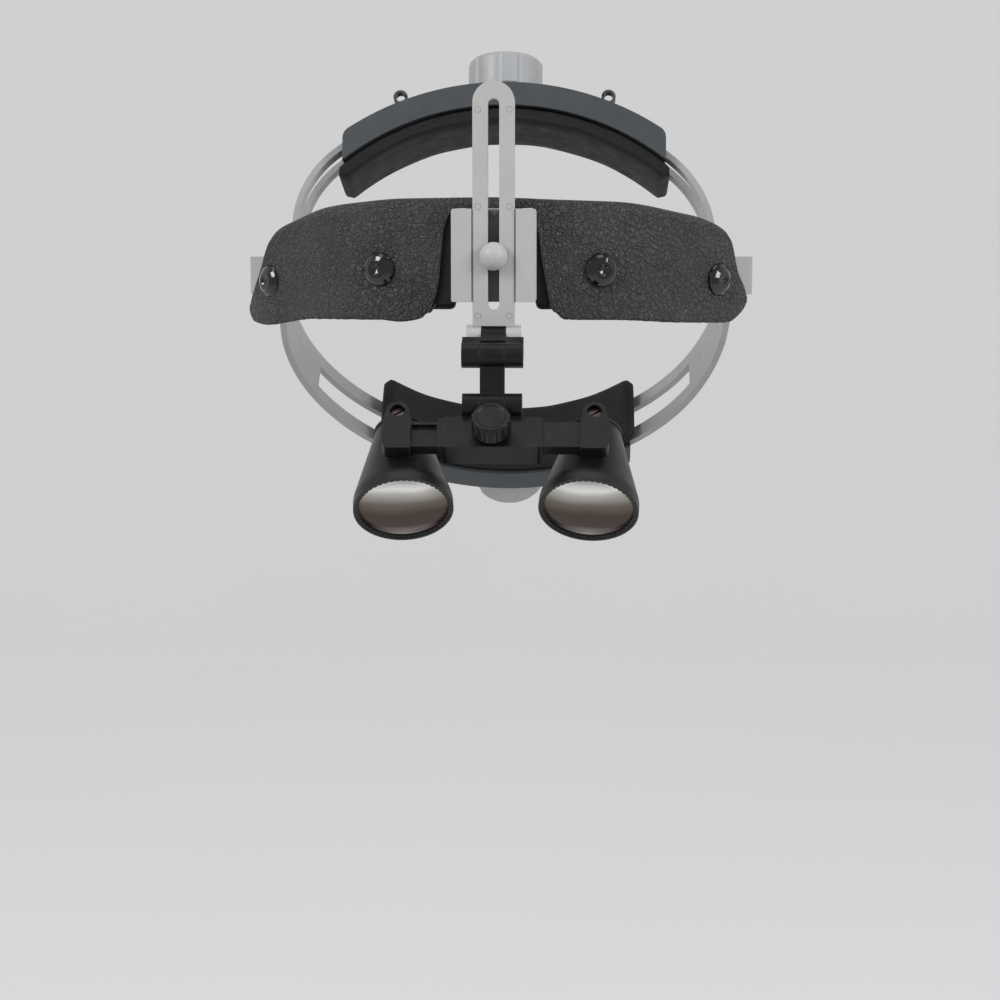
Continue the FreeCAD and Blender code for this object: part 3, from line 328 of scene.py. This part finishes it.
def turned_metal(name, dull, bright, rough):
    """Turned metal with fine tool lines and a little tarnish."""
    made, tree, shader = new_material(name, bright, rough, 1.0)
    lines = grain(tree, 900, 3.0, 0.6, (1.0, 1.0, 6.0))
    tree.links.new(spread(tree, lines, rough - 0.08, rough + 0.14), shader.inputs["Roughness"])
    tree.links.new(ramp(tree, lines, [(0.3, dull), (0.7, bright)]), shader.inputs["Base Color"])
    bump(tree, shader, lines, 0.2, 0.00003, 0.0001)
    return made


def anodised():
    """Black anodised aluminium: satin, with fine pores and faintly rubbed rims."""
    made, tree, shader = new_material("black_anodised", (0.007, 0.007, 0.0072), 0.36)
    worn = grain(tree, 120, 4.0)
    film = ramp(tree, worn, [(0.3, (0.005, 0.005, 0.0052)), (0.75, (0.010, 0.010, 0.0102))])
    rims = blended(tree, worn_edges(tree, 0.0003), film, (0.04, 0.04, 0.04))
    tree.links.new(rims, shader.inputs["Base Color"])
    tree.links.new(spread(tree, worn, 0.32, 0.42), shader.inputs["Roughness"])
    bump(tree, shader, grain(tree, 3200, 3.0), 0.25, 0.00002, 0.00025)
    shader.inputs["Specular IOR Level"].default_value = 0.38
    return made


def lens_glass_painted_light(node, sight_up):
    """Coated glass over a dark inside, with painted light: a painted reflection pale at the top, brown
    see-through tones below, grey again at the lower rim from painted glints, all glowing by emission.
    """
    corners = [Vector(v.co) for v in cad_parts[node].data.vertices]
    heights = [c.dot(sight_up) for c in corners]
    centre = sum(corners, Vector()) / len(corners)
    radius = (max(heights) - min(heights)) / 2
    made, tree, shader = new_material(node + "_glass", (0.2, 0.19, 0.18), 0.05)
    split = add(tree, "ShaderNodeVectorMath", operation="DOT_PRODUCT")
    split.inputs[1].default_value = sight_up
    tree.links.new(place(tree), split.inputs[0])
    height = spread(tree, split.outputs["Value"], 0.0, 1.0, min(heights), max(heights))
    wavy = add(tree, "ShaderNodeMath", operation="ADD")
    tree.links.new(height, wavy.inputs[0])
    tree.links.new(spread(tree, grain(tree, 60, 1.0), -0.03, 0.03), wavy.inputs[1])
    away = add(tree, "ShaderNodeVectorMath", operation="DISTANCE")
    away.inputs[1].default_value = centre
    tree.links.new(place(tree), away.inputs[0])
    share = spread(tree, away.outputs["Value"], 0.0, 1.0, 0.0, radius)
    # painted reflection: a pale arc inside the upper rim, kept to the lens's upper part
    arc = ramp(tree, share, [(LENS_REFLECTION_ARC - LENS_REFLECTION_ARC_HALF, (0, 0, 0)), (LENS_REFLECTION_ARC, (1, 1, 1)),
                             (LENS_REFLECTION_ARC + 0.02, (0, 0, 0))])
    seen = product(tree, arc, spread(tree, height, 0.0, 0.45, 0.82, 0.90))
    # painted light: the tone ramp paints a pale reflection at the top and glints at the lower rim, with the
    # painted arc blended in
    glow = blended(tree, seen, ramp(tree, wavy.outputs["Value"], LENS_PAINTED_TONES), (0.25, 0.25, 0.25))
    tree.links.new(glow, shader.inputs["Base Color"])
    # the painted tones also glow as emission, though the lens is no lamp
    tree.links.new(glow, shader.inputs["Emission Color"])
    shader.inputs["Emission Strength"].default_value = LENS_PAINTED_GLOW
    tree.links.new(spread(tree, grain(tree, 500, 2.0), 0.03, 0.08), shader.inputs["Roughness"])
    shader.inputs["Specular IOR Level"].default_value = 0.15
    shader.inputs["Coat Weight"].default_value = 0.1
    shader.inputs["Coat Roughness"].default_value = 0.03
    return made


def clear_glass():
    made, tree, shader = new_material("clear_glass", (0.75, 0.78, 0.76), 0.03)
    shader.inputs["Transmission Weight"].default_value = 0.9
    shader.inputs["IOR"].default_value = 1.52
    haze = grain(tree, 400, 2.0)
    tree.links.new(spread(tree, haze, 0.02, 0.06), shader.inputs["Roughness"])
    return made


def dress(nodes_by_material):
    for made, names in nodes_by_material.items():
        for name in names:
            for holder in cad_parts[name].material_slots:
                holder.material = made


# ---------------------------------------------------------------- mesh helpers
def new_mesh(name, verts, faces, materials, body):
    """A smooth-shaded piece from millimetre points."""
    mesh = bpy.data.meshes.new(name)
    mesh.from_pydata([Vector(v) * MM for v in verts], [], faces)
    mesh.validate()
    mesh.shade_smooth()
    piece = bpy.data.objects.new(name, mesh)
    bpy.context.scene.collection.objects.link(piece)
    for made in materials:
        mesh.materials.append(made)
    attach(piece, body)
    return piece


def grid_faces(columns, rows, closed=False):
    """Quads between neighbouring columns of points; closed joins the last row to the first."""
    faces = []
    for c in range(columns - 1):
        for r in range(rows if closed else rows - 1):
            a, b = c * rows + r, c * rows + (r + 1) % rows
            faces.append((a, b, b + rows, a + rows))
    return faces


def smooth_step(x, low, high):
    t = min(max((x - low) / (high - low), 0.0), 1.0)
    return t * t * (3 - 2 * t)


def straight_through(x, points):
    """The height at x of straight runs between points."""
    for (x0, v0), (x1, v1) in zip(points, points[1:]):
        if x <= x1:
            return v0 + (v1 - v0) * max(x - x0, 0) / (x1 - x0)
    return points[-1][1]


def curve_through(x, points):
    """The height at x of a smooth curve through points, which never overshoots them."""
    slopes = [(b[1] - a[1]) / (b[0] - a[0]) for a, b in zip(points, points[1:])]
    bends = [2 * p * q / (p + q) if p * q > 0 else 0.0 for p, q in zip(slopes, slopes[1:])]
    tangents = [slopes[0]] + bends + [slopes[-1]]
    for n, ((x0, v0), (x1, v1)) in enumerate(zip(points, points[1:])):
        if x <= x1:
            run = x1 - x0
            t = max(x - x0, 0) / run
            ease = t * t * (3 - 2 * t)
            lift = run * (t * (1 - t) ** 2 * tangents[n] - t * t * (1 - t) * tangents[n + 1])
            return v0 + (v1 - v0) * ease + lift
    return points[-1][1]


# ---------------------------------------------------------------- leather cover
def cover_top(angle):
    """Height of the fold at an angle from straight ahead, in degrees."""
    return curve_through(abs(angle), TOP_EDGE[1 if angle > 0 else -1])


def cover_low(angle):
    """Height of the outer flap's lower edge."""
    return curve_through(abs(angle), LOW_EDGE[1 if angle > 0 else -1])


def cover_angles():
    """Columns: close together at the notch and at the ends."""
    halves = []
    for side in (-1, 1):
        tip = TOP_EDGE[side][-1][0] - END_TRIM
        angles, a = [], 0.0
        while a < tip:
            near_notch = 6.5 < a < 14.5
            near_end = a > END_CORNER - 6
            a = min(a + (0.16 if near_notch else 0.22 if near_end else 0.6), tip)
            angles.append(side * a)
        halves.append(angles)
    return halves[0][::-1] + [0.0] + halves[1]


def cover_dent(angle, z):
    """The leather sinks round each snap and bulges a little between them."""
    dent = 0.0
    for x, snap_z in SNAPS:
        at = math.degrees(math.asin(x / SNAP_R))
        distance = math.hypot((angle - at) * math.radians(1) * OUTER_R, z - snap_z)
        dent -= 0.55 * math.exp(-((distance / 6.0) ** 2))
        dent += 0.35 * math.exp(-(((distance - 11) / 6.0) ** 2))
    return dent


def cover_section(angle):
    """One column: up the outer flap, over the fold and down the inner flap."""
    top = cover_top(angle) - LEATHER_T / 2
    low = min(cover_low(angle), top - 1.2)
    fold = min(FOLD_R, (top - low) / 2.2)
    outer_rows, fold_rows, inner_rows = 30, 9, 12
    shoulder = top - fold
    # radius, height, and how far the flap follows the dents: 1 outside, 0 inside
    path = [(OUTER_R, low + (shoulder - low) * n / outer_rows, 1.0) for n in range(outer_rows)]
    for n in range(fold_rows + 1):
        turn = math.pi * n / fold_rows
        path.append((OUTER_R - fold + fold * math.cos(turn), shoulder + fold * math.sin(turn),
                     1 - n / fold_rows))
    liner = straight_through(abs(INNER_R * math.sin(math.radians(angle))), LINER_EDGE)
    inner_low = min(max(liner, cover_low(angle) + 0.4), shoulder - 0.2)
    step = (inner_low - shoulder) / inner_rows
    path += [(OUTER_R - 2 * fold, shoulder + step * n, 0.0) for n in range(1, inner_rows + 1)]
    ragged = 0.28 * (1 - smooth_step(abs(angle), END_CORNER, END_CORNER + 3))
    points = []
    for radius, z, outside in path:
        wave = noise.noise(Vector((angle / 9.0, z / 16.0, 3.0))) * 0.55
        flare = 0.9 * smooth_step(abs(angle), 44, END_CORNER + 4)
        r = radius + outside * (cover_dent(angle, z) + wave + flare)
        edge = noise.noise(Vector((angle * 1.7, 7.0, outside))) * ragged if z <= low + 0.01 else 0.0
        a = math.radians(angle)
        points.append((r * math.sin(a), -r * math.cos(a), z + edge))
    return points


def leather_cover(skin, edge):
    angles = cover_angles()
    columns = [cover_section(a) for a in angles]
    rows = len(columns[0])
    cover = new_mesh("leather_cover_soft", [p for column in columns for p in column],
                     grid_faces(len(columns), rows), [skin, edge], "headband")
    thick = cover.modifiers.new("thickness", "SOLIDIFY")
    thick.thickness = LEATHER_T * MM
    thick.offset = 0.0
    thick.material_offset_rim = 1
    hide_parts("leather_cover")
    return cover


# ---------------------------------------------------------------- foam pads
def pad_outline(count, bulk):
    """A rounded rectangle from -1 to 1 both ways, as points round it."""
    points = []
    for n in range(count):
        a = 2 * math.pi * n / count
        c, s = math.cos(a), math.sin(a)
        points.append((math.copysign(abs(c) ** (2 / bulk), c), math.copysign(abs(s) ** (2 / bulk), s)))
    return points


def arc_pad(name, radii, half_width, reach, matrix, made, body, seam=True, seed=0.0):
    """A foam pad along an arc about a frame's Y axis, between two x positions."""
    r_in, r_out = radii
    middle, half_thick = (r_in + r_out) / 2, (r_out - r_in) / 2
    outline = pad_outline(64, 5.0)
    verts = []
    for n in range(PAD_STEPS + 1):
        u = n / PAD_STEPS
        from_end = min(u, 1 - u) * (reach[1] - reach[0])
        close = math.sqrt(max(1 - max(1 - from_end / PAD_ROUND, 0.0) ** 2, 0.0))
        for y, t in outline:
            shrink_y = half_width - PAD_ROUND * (1 - close)
            shrink_t = half_thick * (0.25 + 0.75 * close)
            crown = 0.35 * (1 - y * y) * (1 if t < 0 else 0)
            waist = 1 - 0.035 * math.exp(-((t / 0.16) ** 2)) * (1 if seam and abs(y) > 0.9 else 0)
            lump = noise.noise(Vector((u * 9 + seed, y * 2.2, t))) * 0.32
            r = middle + t * shrink_t - (crown + lump) * (0.8 if t < 0 else 0.1)
            x = reach[0] + (reach[1] - reach[0]) * u
            a = math.asin(x / middle)
            point = Vector((r * math.sin(a), y * shrink_y * waist, r * math.cos(a)))
            verts.append(tuple(matrix @ point))
    faces = grid_faces(PAD_STEPS + 1, len(outline), closed=True)
    rows = len(outline)
    faces.append(tuple(range(rows))[::-1])
    faces.append(tuple(range(PAD_STEPS * rows, PAD_STEPS * rows + rows)))
    pad = new_mesh(name, verts, faces, [made], body)
    return pad


def adjuster_frame(tilt, eye_z):
    """The frame of the crown or rear adjuster, in millimetres."""
    turn = Matrix.Rotation(math.radians(tilt), 4, "X")
    return Matrix.Translation(Vector((0, 0, STUD_Z)) - turn @ Vector((0, 0, eye_z))) @ turn


def pads(made):
    crown, rear = adjuster_frame(*CROWN_HANG), adjuster_frame(*REAR_HANG)
    top = arc_pad("crown_pad_soft", CROWN_PAD_R, 15.0, CROWN_PAD_X, crown, made, "crown_housing")
    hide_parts("crown_foam_pad")
    back = arc_pad("rear_pad_soft", REAR_PAD_R, 15.0, REAR_PAD_X, rear, made, "rear_housing", seed=5.0)
    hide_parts("rear_foam_pad")
    front = Matrix(((1, 0, 0, 0), (0, 0, -1, 0), (0, 1, 0, 0), (0, 0, 0, 1)))
    for name, side in (("left", -1), ("right", 1)):
        reach = tuple(sorted(side * x for x in BROW_PAD_X))
        brow = arc_pad("brow_pad_%s_soft" % name, BROW_PAD_R, BROW_PAD_HALF, reach, front, made, "headband",
                       seam=False, seed=11.0 * side)
        if side > 0:
            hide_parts("brow_pads")


# ---------------------------------------------------------------- stage
def stage():
    """A pale round bowl far below and around the object, which gives off a little light of its own."""
    made, tree, shader = new_material("pale_sweep", (STAGE_TONE,) * 3, 0.95)
    paper = [(0.3, (STAGE_TONE * 0.99,) * 3), (0.7, (STAGE_TONE * 1.01,) * 3)]
    tree.links.new(ramp(tree, grain(tree, 3, 2.0), paper), shader.inputs["Base Color"])
    split = add(tree, "ShaderNodeSeparateXYZ")
    tree.links.new(place(tree), split.inputs[0])
    back = spread(tree, split.outputs["Y"], 0.0, 1.0, *STAGE_FADE)
    tree.links.new(ramp(tree, back, STAGE_GLOW), shader.inputs["Emission Color"])
    shader.inputs["Emission Strength"].default_value = 1.0
    shader.inputs["Specular IOR Level"].default_value = 0.0
    made.cycles.emission_sampling = "NONE"      # a faint glow all round, not a lamp
    floor_z = cad_box[0].z - FLOOR_DROP
    profile = [(STAGE_FLAT * n / 8, floor_z) for n in range(1, 9)]      # distance from the middle and height
    for n in range(1, 25):
        a = math.pi / 2 * n / 24
        profile.append((STAGE_FLAT + STAGE_BEND * math.sin(a), floor_z + STAGE_BEND * (1 - math.cos(a))))
    profile.append((STAGE_FLAT + STAGE_BEND, STAGE_TOP))
    around = STAGE_SIDES
    verts = [(0, 0, floor_z)]
    for r, z in profile:
        verts += [(r * math.cos(2 * math.pi * n / around), r * math.sin(2 * math.pi * n / around), z)
                  for n in range(around)]
    faces = [(0, 1 + n, 1 + (n + 1) % around) for n in range(around)]
    for ring in range(len(profile) - 1):
        for n in range(around):
            a, b = 1 + ring * around + n, 1 + ring * around + (n + 1) % around
            faces.append((a, a + around, b + around, b))
    mesh = bpy.data.meshes.new("sweep")
    mesh.from_pydata(verts, [], faces)
    mesh.shade_smooth()
    mesh.materials.append(made)
    sweep = bpy.data.objects.new("sweep", mesh)
    bpy.context.scene.collection.objects.link(sweep)


def soft_light(name, at, aim, size, power):
    data = bpy.data.lights.new(name, "AREA")
    data.shape = "RECTANGLE"
    data.size, data.size_y = size
    data.energy = power
    lamp = bpy.data.objects.new(name, data)
    bpy.context.scene.collection.objects.link(lamp)
    lamp.location = at
    lamp.rotation_euler = (Vector(aim) - Vector(at)).to_track_quat("-Z", "Y").to_euler()


def lights():
    """Soft boxes left, right and above, and a faint light from the open top of the bowl."""
    soft_light("left_box", (-1.0, -0.9, 0.75), (0, -0.05, 0), (0.5, 0.8), 12.5)
    soft_light("right_box", (1.1, -0.75, 0.55), (0, -0.05, 0), (0.5, 0.8), 10.5)
    soft_light("top_box", (0.0, -0.25, 1.3), (0, -0.05, 0), (1.3, 0.7), 3.5)
    world = bpy.data.worlds.new("studio")
    bpy.context.scene.world = world
    world.use_nodes = True
    world.node_tree.nodes["Background"].inputs[0].default_value = (0.95, 0.96, 1.0, 1)
    world.node_tree.nodes["Background"].inputs[1].default_value = 0.3


def camera():
    data = bpy.data.cameras.new("camera")
    data.lens = CAMERA_LENS
    data.sensor_width = 36.0
    seen = bpy.data.objects.new("camera", data)
    bpy.context.scene.collection.objects.link(seen)
    seen.location = CAMERA_AT
    seen.rotation_euler = (math.pi / 2 - CAMERA_PITCH, 0, CAMERA_YAW)
    bpy.context.scene.camera = seen


# ---------------------------------------------------------------- the whole object
camera()
stage()
lights()
bpy.context.scene.view_settings.view_transform = "Standard"

grey = plastic("light_grey_plastic", (0.43, 0.43, 0.425), 0.48, depth=0.000015, tint=0.025, wear=1.12)
strap_grey = plastic("strap_grey_plastic", STRAP_GREY, 0.40, depth=0.000015, tint=0.03, wear=1.1)
dark = plastic("dark_grey_plastic", (0.085, 0.085, 0.087), 0.45)
slate = plastic("slate_plastic", (0.047, 0.053, 0.058), 0.48, depth=0.00003, tint=0.05)
knob_grey = plastic("knob_grey_plastic", (0.36, 0.37, 0.38), 0.42, depth=0.000015, tint=0.03, wear=1.1)
black = plastic("black_plastic", MOULDED_BLACK, 0.4, 3000, 0.00003, 0.0004, 0.12, wear=5.0, gleam=0.3)
gloss = plastic("gloss_black", (0.004, 0.004, 0.0045), 0.07, 900, 0.000004, 0.0001, coat=0.5, uneven=0.02)
rubber = plastic("soft_rubber", (0.011, 0.011, 0.011), 0.62, 1800, 0.00004)
nylon = plastic("natural_nylon", (0.7, 0.7, 0.66), 0.4, wear=1.1)
steel = turned_metal("turned_steel", (0.24, 0.22, 0.21), (0.46, 0.43, 0.41), 0.3)
dark_steel = turned_metal("blackened_steel", (0.035, 0.030, 0.028), (0.16, 0.13, 0.115), 0.34)
brass = turned_metal("plain_brass", (0.50, 0.36, 0.14), (0.66, 0.49, 0.20), 0.34)
anodised_black = anodised()
sight_up = Vector((0.0, -math.sin(SIGHT_DOWN), math.cos(SIGHT_DOWN)))
pair = ("left", "right")
kinds = ("crown", "rear")
dress({
    grey: ["slide_bracket", "slide_bar", "thumb_knob"],
    strap_grey: ["%s_strap_%s" % (k, s) for k in kinds for s in pair],
    dark: ["bracket_backplate"],
    slate: ["%s_%s_shell" % (k, part) for k in kinds for part in ("upper", "lower")] + ["cable_hooks"],
    knob_grey: ["%s_knob" % k for k in kinds] + ["%s_pinion" % k for k in kinds],
    band_plastic(): ["front_band"],
    black: ["upper_link", "lower_link", "bridge_housing", "bridge_cover", "pd_knob"]
    + ["%s_%s" % (s, part) for s in pair for part in ("arm", "saddle")],
    gloss: ["snap_caps"],
    nylon: ["%s_bushes" % k for k in kinds],
    steel: ["snap_sockets", "side_studs", "bracket_screws", "pd_pinion"]
    + ["%s_%s" % (k, part) for k in kinds for part in ("shell_screws", "knob_washer")],
    dark_steel: ["hinge_pin_%d" % n for n in (1, 2, 3)] + ["%s_pivot_screw" % s for s in pair],
    brass: ["clamp_nut"],
    anodised_black: ["%s_%s" % (s, part) for s in pair for part in ("barrel", "retaining_ring")],
    clear_glass(): ["%s_%s" % (s, part) for s in pair for part in ("objective_flint", "eyepiece_lens")],
    rubber: ["%s_eye_ring" % s for s in pair],
})
for side in pair:
    lens = side + "_objective_crown"
    dress({lens_glass_painted_light(lens, sight_up): [lens]})
leather_cover(leather(), raw_edge())
pads(foam())
